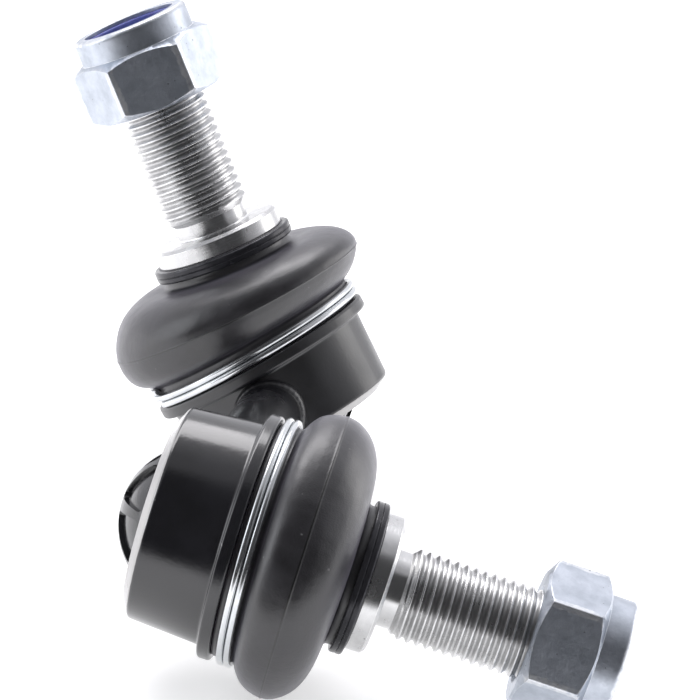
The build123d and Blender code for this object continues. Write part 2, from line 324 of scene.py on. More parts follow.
def finish_mesh(name, mesh, merge):
    bm = bmesh.new()
    bm.from_mesh(mesh)
    bmesh.ops.remove_doubles(bm, verts=bm.verts, dist=merge * MM)
    bmesh.ops.dissolve_degenerate(bm, dist=merge * MM / 4, edges=bm.edges)
    bmesh.ops.recalc_face_normals(bm, faces=bm.faces)
    bm.to_mesh(mesh)
    bm.free()
    mesh.update()
    mesh.shade_smooth()
    mesh.set_sharp_from_angle(angle=radians(SHARP_ANGLE))
    made = bpy.data.objects.new(name, mesh)
    bpy.context.scene.collection.objects.link(made)
    return made


# Collects one piece's vertices in a joint's frame, with the values that its materials read
class Shell:
    def __init__(self):
        self.verts, self.faces, self.edge, self.slots = [], [], [], []

    def add(self, point, edge=0.0):
        self.verts.append(Vector(point))
        self.edge.append(edge)
        return len(self.verts) - 1

    def face(self, *corners, slot=0):
        corners = list(dict.fromkeys(corners))
        if len(corners) > 2:
            self.faces.append(corners)
            self.slots.append(slot)

    # Joins rows of vertices that go round an axis
    def rings(self, rows, closed, slot=0):
        pairs = list(zip(rows, rows[1:]))
        if closed:
            pairs.append((rows[-1], rows[0]))
        for low, high in pairs:
            n = len(low)
            for k in range(n):
                m = (k + 1) % n
                self.face(low[k], low[m], high[m], high[k], slot=slot)

    # Turns a profile round the axis; shape may change each point by its angle
    def lathe(self, points, angles, closed=True, shape=None, slot=0):
        rows = []
        for r, z, edge in points:
            if r == 0:
                pole = self.add((0, 0, z), edge)
                rows.append([pole] * len(angles))
                continue
            row = []
            for t in angles:
                rr, zz, e = shape(t, r, z, edge) if shape else (r, z, edge)
                row.append(self.add((rr * cos(t), rr * sin(t), zz), e))
            rows.append(row)
        self.rings(rows, closed, slot)
        return rows

    # The object; place is a matrix, or a function from a point here to one in the shared frame in metres
    def make(self, name, place, materials, merge=MERGE):
        mesh = bpy.data.meshes.new(name)
        put = place if callable(place) else lambda v: place @ (v * MM)
        mesh.from_pydata([put(v) for v in self.verts], [], self.faces)
        spot = mesh.attributes.new("spot", "FLOAT_VECTOR", "POINT")
        spot.data.foreach_set("vector", [x for v in self.verts for x in v])
        edge = mesh.attributes.new("edge", "FLOAT", "POINT")
        edge.data.foreach_set("value", self.edge)
        for m in materials:
            mesh.materials.append(m)
        mesh.polygons.foreach_set("material_index", self.slots)
        return finish_mesh(name, mesh, merge)


# Nodes
def node_group(name, inputs, outputs):
    group = bpy.data.node_groups.new(name, "ShaderNodeTree")
    for label, kind, value in inputs:
        socket = group.interface.new_socket(label, in_out="INPUT", socket_type="NodeSocket" + kind)
        if value is not None:
            socket.default_value = value
    for label, kind in outputs:
        group.interface.new_socket(label, in_out="OUTPUT", socket_type="NodeSocket" + kind)
    given = group.nodes.new("NodeGroupInput").outputs
    result = group.nodes.new("NodeGroupOutput").inputs
    return group, given, result


def node(tree, kind, inputs=None, **settings):
    made = tree.nodes.new(kind)
    for key, value in settings.items():
        setattr(made, key, value)
    for key, value in (inputs or {}).items():
        if isinstance(value, bpy.types.NodeSocket):
            tree.links.new(value, made.inputs[key])
        else:
            made.inputs[key].default_value = value
    return made


def maths(tree, operation, a, b):
    return node(tree, "ShaderNodeMath", {0: a, 1: b}, operation=operation).outputs[0]


def ramp(tree, value, low, high, to_low=0.0, to_high=1.0):
    made = node(tree, "ShaderNodeMapRange", {0: value, 1: low, 2: high, 3: to_low, 4: to_high})
    return made.outputs[0]


def noise(tree, place, scale, detail, roughness=0.5):
    made = node(tree, "ShaderNodeTexNoise", {"Vector": place, "Scale": scale, "Detail": detail,
                                             "Roughness": roughness})
    return made.outputs[0]


# Cloudy patches and fine grain
def patches_group():
    g, given, result = node_group(
        "patches",
        [("Place", "Vector", None), ("Size", "Float", 0.3), ("Grain", "Float", 4.0)],
        [("Cloud", "Float"), ("Grain", "Float")],
    )
    cloud = noise(g, given["Place"], given["Size"], detail=5.0, roughness=0.6)
    g.links.new(ramp(g, cloud, 0.35, 0.68), result["Cloud"])
    g.links.new(noise(g, given["Place"], given["Grain"], detail=3.0), result["Grain"])
    return g


# Sparse dust specks
def specks_group():
    bare_share = 0.6
    g, given, result = node_group(
        "specks",
        [("Place", "Vector", None), ("Density", "Float", 1.0), ("Size", "Float", 0.12)],
        [("Mask", "Float")],
    )
    cells = node(g, "ShaderNodeTexVoronoi", {"Vector": given["Place"], "Scale": given["Density"]}).outputs
    pick = node(g, "ShaderNodeSeparateColor", {0: cells["Color"]}).outputs
    size = maths(g, "MULTIPLY", given["Size"], pick[1])
    inside = maths(g, "LESS_THAN", cells["Distance"], size)
    chosen = maths(g, "GREATER_THAN", pick[0], bare_share)
    g.links.new(maths(g, "MULTIPLY", inside, chosen), result["Mask"])
    return g


# Fine lines left by turning, square to the axis
def turned_group():
    g, given, result = node_group(
        "turned",
        [("Place", "Vector", None), ("Lines", "Float", 6.0)],
        [("Height", "Float")],
    )
    parts = node(g, "ShaderNodeSeparateXYZ", {0: given["Place"]}).outputs
    flat = node(g, "ShaderNodeCombineXYZ", {0: parts[0], 1: parts[1]}).outputs[0]
    radius = node(g, "ShaderNodeVectorMath", {0: flat}, operation="LENGTH").outputs["Value"]
    line = node(g, "ShaderNodeCombineXYZ", {0: radius, 1: parts[2]}).outputs[0]
    g.links.new(noise(g, line, given["Lines"], detail=4.0), result["Height"])
    return g


# Wear along rounded corners, broken up by noise
def worn_group():
    noise_depth = 2.0
    g, given, result = node_group(
        "worn_edges",
        [("Place", "Vector", None), ("Edge", "Float", 0.0), ("Amount", "Float", 0.5)],
        [("Mask", "Float")],
    )
    broken = maths(g, "MULTIPLY", noise(g, given["Place"], 0.9, detail=6.0), noise_depth)
    level = maths(g, "ADD", given["Edge"], given["Amount"])
    g.links.new(ramp(g, maths(g, "SUBTRACT", level, broken), 0.0, 0.5), result["Mask"])
    return g


GROUPS = {g.name: g for g in (patches_group(), specks_group(), turned_group(), worn_group())}


# One material under construction
class Finish:
    def __init__(self, name, own_place=True, **constants):
        self.material = bpy.data.materials.new(name)
        self.material.use_nodes = True
        self.tree = self.material.node_tree
        self.shader = self.tree.nodes["Principled BSDF"]
        for key, value in constants.items():
            self.shader.inputs[key.replace("_", " ")].default_value = value
        if own_place:
            self.place = node(self.tree, "ShaderNodeAttribute", attribute_name="spot").outputs["Vector"]
        else:
            coords = node(self.tree, "ShaderNodeTexCoord").outputs["Object"]
            scaled = node(self.tree, "ShaderNodeVectorMath", {0: coords, 3: 1 / MM}, operation="SCALE")
            self.place = scaled.outputs[0]
        self.edge = node(self.tree, "ShaderNodeAttribute", attribute_name="edge").outputs["Fac"]

    def group(self, name, **inputs):
        inputs["Place"] = self.place
        made = node(self.tree, "ShaderNodeGroup", node_tree=GROUPS[name])
        for key, value in inputs.items():
            if isinstance(value, bpy.types.NodeSocket):
                self.tree.links.new(value, made.inputs[key])
            else:
                made.inputs[key].default_value = value
        return made.outputs

    def put(self, key, value):
        self.tree.links.new(value, self.shader.inputs[key])

    def bump(self, height, strength, distance_mm=0.05):
        made = node(self.tree, "ShaderNodeBump", {"Height": height, "Strength": strength,
                                                  "Distance": distance_mm * MM})
        self.put("Normal", made.outputs[0])

    def tint(self, factor, a, b):
        return node(self.tree, "ShaderNodeMix", {0: factor, 6: a, 7: b}, data_type="RGBA").outputs[2]

    def ramp(self, value, low, high, to_low, to_high):
        return ramp(self.tree, value, low, high, to_low, to_high)

    def maths(self, operation, a, b):
        return maths(self.tree, operation, a, b)

    def wear(self, amount):
        return self.group("worn_edges", Edge=self.edge, Amount=amount)["Mask"]

    def dusty(self, base, dust, share, density, size):
        specks = self.group("specks", Density=density, Size=size)["Mask"]
        return self.tint(self.maths("MULTIPLY", specks, share), base, dust)


def grey(level, warm=0.0):
    return (level * (1 + warm), level, level * (1 - warm), 1.0)


def paint(name, own_place, gloss_low, gloss_high):
    f = Finish(name, own_place, Coat_Weight=0.2, Coat_Roughness=0.08, Specular_IOR_Level=0.9)
    cloud, grain = f.group("patches", Size=0.12, Grain=2.2)
    worn = f.wear(0.2)
    base = f.tint(cloud, (0.006, 0.006, 0.007, 1), (0.010, 0.010, 0.013, 1))
    base = f.tint(worn, base, grey(0.42, 0.02))
    f.put("Base Color", f.dusty(base, grey(0.15), share=0.3, density=0.45, size=0.09))
    f.put("Metallic", f.maths("MULTIPLY", worn, 0.4))
    f.put("Roughness", f.ramp(cloud, 0, 1, gloss_low, gloss_high))
    f.bump(grain, 0.25)
    return f.material


def rubber():
    f = Finish("boot_rubber", Sheen_Weight=0.25, Sheen_Roughness=0.35, Sheen_Tint=(0.78, 0.75, 0.9, 1),
               Specular_IOR_Level=0.95)
    cloud, grain = f.group("patches", Size=0.16, Grain=5.5)
    creases = f.group("patches", Size=0.9, Grain=0.45)["Grain"]
    base = f.tint(cloud, (0.012, 0.0115, 0.013, 1), (0.026, 0.025, 0.029, 1))
    base = f.dusty(base, grey(0.16), share=0.5, density=0.7, size=0.11)
    # The parting seam, where edge is 1, is painted near-black: a painted shade line along the seam's small
    # ridge
    f.put("Base Color", f.tint(f.edge, base, grey(0.002)))
    f.put("Roughness", f.ramp(cloud, 0, 1, 0.28, 0.42))
    f.bump(f.maths("ADD", grain, f.maths("MULTIPLY", creases, 2.5)), 0.28, 0.09)
    return f.material


def steel(name, dark, light, rough, lines=7.0, metallic=1.0, bump=0.3):
    f = Finish(name, Metallic=metallic)
    cloud = f.group("patches", Size=0.22)["Cloud"]
    base = f.tint(cloud, dark, light)
    base = f.tint(f.wear(0.5), base, tuple(min(1.0, c * 1.25) for c in light))
    f.put("Base Color", f.dusty(base, grey(0.06), share=0.6, density=0.9, size=0.12))
    f.put("Roughness", f.ramp(cloud, 0, 1, rough + 0.08, rough - 0.04))
    f.bump(f.group("turned", Lines=lines)["Height"], bump, 0.03)
    return f.material


def zinc():
    f = Finish("zinc_plate", Metallic=0.95)
    cloud, grain = f.group("patches", Size=0.35, Grain=2.6)
    base = f.tint(cloud, (0.46, 0.50, 0.56, 1), (0.62, 0.66, 0.73, 1))
    base = f.tint(f.wear(0.45), base, (0.78, 0.80, 0.83, 1))
    f.put("Base Color", f.dusty(base, (0.16, 0.17, 0.18, 1), share=0.6, density=1.1, size=0.16))
    f.put("Roughness", f.ramp(grain, 0.3, 0.7, 0.32, 0.46))
    f.bump(grain, 0.35, 0.04)
    return f.material


def plastic(name, dark, light, own_place=True):
    f = Finish(name, own_place, Subsurface_Weight=0.15, Subsurface_Scale=0.002, Roughness=0.38)
    cloud, grain = f.group("patches", Size=0.5, Grain=3.0)
    f.put("Base Color", f.tint(cloud, dark, light))
    f.bump(grain, 0.2)
    return f.material


PAINTS = {
    "front": paint("black_paint", True, 0.15, 0.25),
    "rear": paint("black_paint_satin", True, 0.34, 0.46),
}
PAINT_CAD = paint("black_paint_cad", False, 0.2, 0.3)
RUBBER = rubber()
MACHINED = steel("machined_steel", (0.60, 0.60, 0.60, 1), (0.76, 0.76, 0.76, 1), 0.22)
THREAD = steel("thread_steel", (0.46, 0.46, 0.46, 1), (0.64, 0.64, 0.64, 1), 0.26, lines=3.0, bump=0.15)
WIRE = steel("wire_steel", (0.66, 0.68, 0.70, 1), (0.82, 0.84, 0.85, 1), 0.2, lines=4.0, bump=0.15)
RING = steel("ring_steel", (0.02, 0.02, 0.024, 1), (0.05, 0.05, 0.056, 1), 0.2, metallic=0.5)
ZINC = zinc()
NYLON = plastic("insert_nylon", (0.07, 0.08, 0.32, 1), (0.12, 0.15, 0.44, 1))
SEAT = plastic("seat_plastic", (0.55, 0.54, 0.50, 1), (0.70, 0.69, 0.65, 1), own_place=False)


# Housing: its rolled lip slopes inward and is worn bright
def make_housing(side):
    taper = (WALL_TOP_R - BASE_R) / (FLANGE_LOW + BASE_DROP)
    corners = [
        (CAP_OPEN_R, -BASE_DROP - BASE_ROLL, 0.15),
        (BASE_R - LIP_IN, -BASE_DROP - BASE_ROLL, 0.5),
        (BASE_R + BASE_CORNER_RISE * taper, -BASE_DROP - BASE_CORNER_DROP, 0.7),
        (WALL_TOP_R, FLANGE_LOW, 0.5),
        (FLANGE_R, FLANGE_LOW, 0.4),
        (FLANGE_R, FLANGE_TOP, 0.4),
        (SPIGOT_R, FLANGE_TOP, 0.08),
        (SPIGOT_R, SPIGOT_TOP, 0.3),
        (MOUTH_TOP_R, SPIGOT_TOP, 0.3),
        (MOUTH_R, SEAT_STOP, 0.1),
        (BORE_R, SEAT_STOP, 0.05),
        (BORE_R, LEDGE, 0.05),
        (CAP_RIM_R, LEDGE, 0.05),
        (CAP_RIM_R, CAP_BOTTOM, 0.05),
        (CAP_OPEN_R, CAP_BOTTOM, 0.1),
    ]

    def lip_worn(t, r, z, edge):
        on_lip = BASE_R - LIP_IN < r < BASE_R - LIP_WEAR_MARGIN and z < -BASE_DROP
        return r, z, LIP_WEAR if on_lip else edge * EDGE_WEAR

    shell = Shell()
    shell.lathe(profile(corners), around(HOUSING_STEPS), shape=lip_worn)
    made = shell.make(side + "_housing_look", housings[side], [PAINTS[side]])
    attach(made, "root")
    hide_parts(side + "_housing")


# Boot: a fold above the wires and the mould's parting line on its widest ring
BOOT_LOWER = [
    (BOOT_FOOT_R, 5.9), (BOOT_FOOT_R, 7.9), (15.45, 8.3), (15.8, 8.62), (16.3, 8.86), (16.9, 9.25),
    (17.6, 9.85), (18.2, 10.7), (18.62, 11.8), (18.8, 12.92),
]
BOOT_SEAM = [(18.84, 12.97), (18.88, 13.03), (18.88, 13.10), (18.84, 13.16)]
BOOT_UPPER = [
    (18.8, 13.2), (18.62, 14.2), (18.15, 15.2), (17.4, 16.2), (16.3, 17.1), (14.9, 17.8), (13.3, 18.25),
    (11.7, 18.42), (10.4, 18.45), (9.65, 18.6), (9.32, 19.0), (BOOT_NECK_R, 19.6), (BOOT_NECK_R, 20.9),
]
BOOT_INNER = [
    (BOOT_NECK_BORE, 20.9), (BOOT_NECK_BORE, 18.6), (8.6, 17.6), (9.2, 16.95), (11.4, 16.8), (13.3, 16.5),
    (15.3, 15.8), (16.6, 14.8), (17.1, 13.05), (16.9, 11.9), (16.2, 11.0), (15.0, 10.5), (14.0, 10.2),
    (BOOT_FOOT_BORE, 9.6), (BOOT_FOOT_BORE, 7.5), (BOOT_FOOT_BORE, 5.9),
]


def boot_profile():
    points = [
        (BOOT_FOOT_BORE, BOOT_FOOT),
        (BOOT_FOOT_R - BOOT_FOOT_EDGE, BOOT_FOOT),
        (BOOT_FOOT_R - BOOT_FOOT_CUT, BOOT_FOOT + BOOT_FOOT_CUT),
        (BOOT_FOOT_R, BOOT_FOOT + BOOT_FOOT_EDGE),
    ]
    points += curve_through(BOOT_LOWER) + BOOT_SEAM + curve_through(BOOT_UPPER)
    points += [
        (BOOT_NECK_R, BOOT_TOP - BOOT_NECK_EDGE),
        (BOOT_NECK_R - BOOT_NECK_EDGE, BOOT_TOP),
        (BOOT_NECK_BORE, BOOT_TOP),
    ]
    points += curve_through(BOOT_INNER)
    # edge is 1 on the parting seam, which the rubber colours as a painted shade line
    return [(r, z, 1.0 if (r, z) in BOOT_SEAM else 0.0) for r, z in points]


# Slight dimples on the bulge; a wave is (count, lean, phase, depth)
def boot_shape(t, r, z, edge):
    bulge = smooth_step(z, *DIMPLES_LOW) * (1 - smooth_step(z, *DIMPLES_HIGH)) * smooth_step(r, *DIMPLES_NEAR)
    dimple = sum(depth * sin(count * t + lean * z + phase) for count, lean, phase, depth in DIMPLE_WAVES)
    return r + bulge * (dimple - DIMPLE_SINK), z, edge


def make_boot(side):
    shell = Shell()
    shell.lathe(boot_profile(), around(BOOT_STEPS), shape=boot_shape)
    axis, angle = leans[side]
    to_frame = housings[side]
    ball = to_frame.translation

    def place(v):
        share = smooth_step(v.z, BEND_FROM, BEND_TO)
        here = to_frame @ (v * MM) - ball
        return ball + Matrix.Rotation(angle * share, 3, axis) @ here

    made = shell.make(side + "_boot_look", place, [RUBBER])
    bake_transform(made)
    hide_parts(side + "_boot")


# Clamp wire: round wire wound in a helix, its ends cut square and slightly domed
def make_wire(side):
    shell = Shell()
    steps = WIRE_STEPS * WIRE_TURNS
    slope = WIRE_PITCH / (2 * pi * WIRE_RING_R)
    rows = []
    for i in range(steps + 1):
        t = 2 * pi * WIRE_TURNS * i / steps + radians(WIRE_END_ANGLE)
        out = Vector((cos(t), sin(t), 0))
        up = Vector((sin(t) * slope, -cos(t) * slope, 1)).normalized()
        height = Vector((0, 0, WIRE_LOW + WIRE_PITCH * WIRE_TURNS * i / steps))
        row = []
        for a in around(WIRE_SIDES):
            row.append(shell.add(out * (WIRE_RING_R + WIRE_R * cos(a)) + height + up * WIRE_R * sin(a)))
        rows.append(row)
    shell.rings(rows, False)

    def middle(row):
        return sum((shell.verts[k] for k in row), Vector()) / len(row)

    for row, before in ((rows[0], rows[1]), (rows[-1], rows[-2])):
        centre = middle(row)
        ahead = (centre - middle(before)).normalized()
        cap = []
        for k in row:
            rim = (shell.verts[k] - centre) * WIRE_CAP_SHARE
            cap.append(shell.add(centre + rim + ahead * WIRE_CAP_OUT, 1.0))
        pole = shell.add(centre + ahead * WIRE_POLE_OUT)
        shell.rings([row, cap, [pole] * len(row)], False)
    made = shell.make(side + "_clamp_wire_look", housings[side], [WIRE])
    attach(made, "root")
    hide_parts(side + "_clamp_wire")


# Neck ring: two beads with a groove between them
def make_ring(side):
    middle = (RING_LOW + RING_TOP) / 2
    corners = [
        (RING_INNER, RING_LOW, 0.1),
        (RING_OUTER, RING_LOW, RING_ROUND),
        (RING_OUTER, middle - RING_GROOVE_HALF, 0.1),
        (RING_OUTER - RING_GROOVE, middle, 0.04),
        (RING_OUTER, middle + RING_GROOVE_HALF, 0.1),
        (RING_OUTER, RING_TOP, RING_ROUND),
        (RING_INNER, RING_TOP, 0.1),
    ]
    shell = Shell()
    shell.lathe(profile(corners), around(RING_STEPS))
    made = shell.make(side + "_neck_ring_look", studs[side], [RING])
    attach(made, side + "_neck")
    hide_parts(side + "_neck_ring")


# Thread: one turn, repeated along the shank by geometry nodes
THREAD_FLANK = [
    (THREAD_ROOT_R, 0.0),
    (THREAD_ROOT_R + 0.015, 0.09),
    (THREAD_ROOT_R + 0.07, 0.18),
    (THREAD_R - 0.1, 0.46),
    (THREAD_R - 0.03, 0.53),
    (THREAD_R, 0.60),
]


def thread_turn():
    section = THREAD_FLANK + [(r, THREAD_PITCH - z) for r, z in reversed(THREAD_FLANK)]
    n = len(section)
    verts, faces = [], []
    for k in range(THREAD_STEPS + 1):
        t = 2 * pi * k / THREAD_STEPS
        for r, z in section:
            verts.append((r * cos(t), r * sin(t), z + THREAD_PITCH * k / THREAD_STEPS))
    for k in range(THREAD_STEPS):
        for j in range(n - 1):
            a = k * n + j
            faces.append((a, a + n, a + n + 1, a + 1))
    mesh = bpy.data.meshes.new("thread_turn")
    mesh.from_pydata(verts, [], faces)
    made = bpy.data.objects.new("thread_turn", mesh)
    bpy.context.scene.collection.objects.link(made)
    return made


def repeat_group():
    group = bpy.data.node_groups.new("repeat_along_z", "GeometryNodeTree")
    sockets = group.interface
    sockets.new_socket("Geometry", in_out="INPUT", socket_type="NodeSocketGeometry")
    for label, kind in (("Piece", "Object"), ("Count", "Int"), ("Step", "Vector"), ("Merge", "Float"),
                        ("Material", "Material")):
        sockets.new_socket(label, in_out="INPUT", socket_type="NodeSocket" + kind)
    sockets.new_socket("Geometry", in_out="OUTPUT", socket_type="NodeSocketGeometry")
    given = group.nodes.new("NodeGroupInput").outputs
    result = group.nodes.new("NodeGroupOutput").inputs
    line = node(group, "GeometryNodeMeshLine", {"Count": given["Count"], "Offset": given["Step"]})
    piece = node(group, "GeometryNodeObjectInfo", {"Object": given["Piece"]})
    spread = node(group, "GeometryNodeInstanceOnPoints", {"Points": line.outputs[0],
                                                          "Instance": piece.outputs["Geometry"]})
    real = node(group, "GeometryNodeRealizeInstances", {0: spread.outputs[0]})
    merged = node(group, "GeometryNodeMergeByDistance", {"Geometry": real.outputs[0],
                                                         "Distance": given["Merge"]})
    finished = node(group, "GeometryNodeSetMaterial", {"Geometry": merged.outputs[0],
                                                       "Material": given["Material"]})
    group.links.new(finished.outputs[0], result[0])
    return group


# The turns as one mesh, longer than the shank at both ends
def thread_mesh():
    turn = thread_turn()
    holder = bpy.data.objects.new("thread", bpy.data.meshes.new("thread"))
    bpy.context.scene.collection.objects.link(holder)
    modifier = holder.modifiers.new("repeat", "NODES")
    group = repeat_group()
    modifier.node_group = group
    names = {s.name: s.identifier for s in group.interface.items_tree if s.in_out == "INPUT"}
    modifier[names["Piece"]] = turn
    modifier[names["Count"]] = int((STUD_END - THREAD_LOW) / THREAD_PITCH) + THREAD_SPARE_TURNS
    modifier[names["Step"]] = (0.0, 0.0, THREAD_PITCH)
    modifier[names["Merge"]] = THREAD_TURN_MERGE
    modifier[names["Material"]] = THREAD
    shown = bpy.context.evaluated_depsgraph_get()
    mesh = bpy.data.meshes.new_from_object(holder.evaluated_get(shown))
    holder.modifiers.remove(modifier)
    bpy.data.objects.remove(holder)
    bpy.data.objects.remove(turn)
    bpy.data.node_groups.remove(group)
    return mesh


# The largest radius of the thread at a height, by the chamfers at both ends
def thread_limit(z):
    run_in = UNDERCUT_R + (z - THREAD_LOW)
    run_out = THREAD_R - (z - (STUD_END - THREAD_CHAMFER))
    return min(THREAD_R, run_in, run_out)


# Adds the thread to a stud's shell, cut to the shank's length and chamfers
def add_thread(shell):
    mesh = thread_mesh()
    start = len(shell.verts)
    for v in mesh.vertices:
        x, y, z = v.co
        z = min(STUD_END, max(THREAD_LOW, z + THREAD_LOW - THREAD_PITCH * THREAD_LEAD_TURNS))
        r = min(sqrt(x * x + y * y), thread_limit(z))
        t = atan2(y, x)
        shell.add((r * cos(t), r * sin(t), z), 1.0 if r > THREAD_R - THREAD_CREST else 0.0)
    for p in mesh.polygons:
        shell.face(*[start + k for k in p.vertices], slot=1)
    bpy.data.meshes.remove(mesh)


# Distance from the axis to a hexagon with rounded corners; corner is the angle of one of them
def hex_radius(t, half_af, rounding, corner=0.0):
    a = (t - corner) % (pi / 3) - pi / 6
    flat = half_af / cos(a)
    centre = (half_af - rounding) / cos(pi / 6)
    off = pi / 6 - abs(a)
    under = rounding**2 - (centre * sin(off)) ** 2
    if under <= 0:
        return flat
    return min(flat, centre * cos(off) + sqrt(under))


def stud_profile():
    ball_flat = -sqrt(BALL_R**2 - BALL_FLAT_R**2)
    ball_low = atan2(ball_flat, BALL_FLAT_R)
    ball_high = acos(NECK_R / BALL_R)
    corners = [(0.0, ball_flat)]
    for i in range(BALL_STEPS + 1):
        a = ball_low + (ball_high - ball_low) * i / BALL_STEPS
        corners.append((BALL_R * cos(a), BALL_R * sin(a)))
    corners += [(NECK_R, NECK_LOW), (NECK_R, CONE_LOW)]
    for i in range(1, CONE_STEPS + 1):
        s = i / CONE_STEPS
        corners.append((NECK_R + (CONE_R - NECK_R) * smooth_step(s, 0, 1), CONE_LOW + CONE_H * s))
    corners += [
        (CONE_R, COLLAR_LOW, 0.1),
        (COLLAR_R, COLLAR_LOW, 0.12),
        (COLLAR_R, SEAT_FACE - COLLAR_CHAMFER, 0.12),
        (COLLAR_R - COLLAR_CHAMFER, SEAT_FACE, 0.12),
        (UNDERCUT_R, SEAT_FACE, 0.25),
        (UNDERCUT_R, THREAD_LOW),
    ]
    return profile(corners, closed=False)


# Ball stud: ball, neck, collar and threaded shank with a hex socket in its end
def make_stud(side):
    shell = Shell()
    angles = around(THREAD_STEPS)
    shell.lathe(stud_profile(), angles, closed=False)
    add_thread(shell)

    def socket_row(size, z, edge):
        row = []
        for t in angles:
            r = hex_radius(t, size, SOCKET_ROUND)
            row.append(shell.add((r * cos(t), r * sin(t), z), edge))
        return row

    floor = STUD_END - SOCKET_DEPTH
    rows = shell.lathe([(UNDERCUT_R, STUD_END, 0.0)], angles, closed=False)
    rows.append(socket_row(SOCKET_R + SOCKET_CHAMFER, STUD_END, 1.0))
    rows.append(socket_row(SOCKET_R, STUD_END - SOCKET_CHAMFER, 0.3))
    rows.append(socket_row(SOCKET_R, floor, 0.0))
    rows.append([shell.add((0, 0, floor - SOCKET_POINT))] * len(angles))
    shell.rings(rows, False, slot=1)
    made = shell.make(side + "_ball_stud_look", studs[side], [MACHINED, THREAD], merge=THREAD_MERGE)
    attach(made, side + "_stud")
    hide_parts(side + "_ball_stud")


# Lock nut: a chamfered hexagon, turned on its thread, and a crown rolled over the insert
NUT_STEPS = [-30, -29.3, -28.6, -27.8, -26.8, -24, -20, -16, -12, -8, -4, 0, 4, 8, 12, 16, 20, 24, 26.8,
             27.8, 28.6, 29.3]
NUT_HEX_EDGE = [(0.15, 0.05, 0.98, 0.6), (0.03, 0.01, 1.02, 1.0), (0.0, 0.0, 1.15, 0.6), (0.0, 0.0, 1.3, 0.0)]
NUT_LOW = [
    (NUT_BORE_R, NUT_BORE_LOW),
    (NUT_BORE_R, NUT_BORE_CHAMFER, 0.05),
    (NUT_BORE_R + NUT_BORE_CHAMFER, 0.0, 0.1),
    (NUT_FACE_R, 0.0),
]
NUT_HIGH = [
    (NUT_FACE_R, NUT_HEX_H),
    (NUT_CROWN_R, NUT_HEX_H, 0.12),
    (NUT_CROWN_R, NUT_TOP, NUT_CROWN_ROUND),
    (NUT_OPENING_R, NUT_TOP, 0.15),
    (NUT_OPENING_R, NUT_TOP - NUT_ROLL, 0.05),
    (INSERT_R + INSERT_GAP, NUT_TOP - NUT_ROLL, 0.03),
    (INSERT_R + INSERT_GAP, INSERT_LOW - INSERT_GAP, 0.03),
    (NUT_BORE_R, INSERT_LOW - INSERT_GAP, 0.1),
    (NUT_BORE_R, NUT_BORE_HIGH),
]


def make_nut(side):
    corner = radians(NUT_CORNER[side])
    angles = [corner + radians(60 * k + 30 + a) for k in range(6) for a in NUT_STEPS]
    slope = tan(radians(NUT_CHAMFER))
    shell = Shell()

    # A row near the hexagon's rounded edge: inset, height, share of the chamfer's drop, and edge
    def hex_row(inset, height, share, edge, from_top):
        row = []
        for t in angles:
            wide = hex_radius(t, NUT_HALF_AF, NUT_HEX_ROUND, corner)
            r = wide - inset
            z = share * (wide - NUT_FACE_R) * slope + height
            on_corner = wide > NUT_HALF_AF * NUT_CORNER_FROM
            row.append(shell.add((r * cos(t), r * sin(t), NUT_HEX_H - z if from_top else z),
                                 1.0 if on_corner else edge))
        return row

    low_rows = shell.lathe(profile(NUT_LOW, closed=False), angles, closed=False)
    hex_rows = [hex_row(*line, from_top=False) for line in NUT_HEX_EDGE]
    hex_rows += [hex_row(*line, from_top=True) for line in reversed(NUT_HEX_EDGE)]
    high_rows = shell.lathe(profile(NUT_HIGH, closed=False), angles, closed=False)
    shell.rings([low_rows[-1], *hex_rows, high_rows[0]], False)
    shell.rings([high_rows[-1], low_rows[0]], False)
    place = studs[side] @ Matrix.Translation((0, 0, NUT_BASE * MM))
    made = shell.make(side + "_lock_nut_look", place, [ZINC])
    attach(made, side + "_nut")
    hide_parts(side + "_lock_nut")


def make_insert(side):
    corners = [
        (NUT_BORE_R, 0.0, 0.25),
        (INSERT_R, 0.0, 0.1),
        (INSERT_R, INSERT_H, 0.1),
        (NUT_BORE_R, INSERT_H, 0.3),
    ]
    shell = Shell()
    shell.lathe(profile(corners), around(INSERT_STEPS))
    place = studs[side] @ Matrix.Translation((0, 0, (NUT_BASE + INSERT_LOW) * MM))
    made = shell.make(side + "_nylon_insert_look", place, [NYLON])
    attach(made, side + "_nut")
    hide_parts(side + "_nylon_insert")


# Height of the housing's wall over the rod's end, in a frame along the rod
def wall_height(x, y):
    above_base = x - ROD_BELOW_BALL + BASE_DROP
    r = BASE_R + (WALL_TOP_R - BASE_R) * above_base / (FLANGE_LOW + BASE_DROP)
    return sqrt(r * r - y * y)


# Weld: a rippled bead where the rod meets the housing's wall, closed by two rows inside the metal
def make_weld(side):
    along = rod_dir if side == "front" else -rod_dir
    axis = (housings[side].to_3x3() @ Vector((0, 0, 1))).normalized()
    origin = housings[side].translation - axis * ROD_BELOW_BALL * MM
    place = axes_matrix(origin, axis, along)
    angles = around(WELD_STEPS)
    shell = Shell()
    rows = []
    for j in range(WELD_ROWS + 1):
        a = pi / 2 * j / WELD_ROWS
        row = []
        for t in angles:
            ripple = WELD_RIPPLE * cos(WELD_RIPPLES * t + WELD_RIPPLE_LEAN * a)
            swell = 1 + ripple + WELD_LUMP * cos(WELD_LUMPS * t)
            r = ROD_R - WELD_SINK + (WELD_LEG + WELD_SWELL) * cos(a) * swell
            x, y = r * cos(t), r * sin(t)
            rise = (WELD_LEG + WELD_EDGE + WELD_SWELL) * sin(a) * swell
            row.append(shell.add((x, y, wall_height(x, y) - WELD_SINK + rise)))
        rows.append(row)
    for out, up in WELD_ROOT:
        row = []
        for t in angles:
            x, y = (ROD_R + out) * cos(t), (ROD_R + out) * sin(t)
            row.append(shell.add((x, y, wall_height(x, y) + up)))
        rows.append(row)
    shell.rings(rows, True)
    made = shell.make(side + "_weld_look", place, [PAINTS[side]])
    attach(made, "root")
    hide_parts(side + "_weld")


for side in housings:
    make_housing(side)
    make_boot(side)
    make_wire(side)
    make_ring(side)
    make_stud(side)
    make_nut(side)
    make_insert(side)
    make_weld(side)

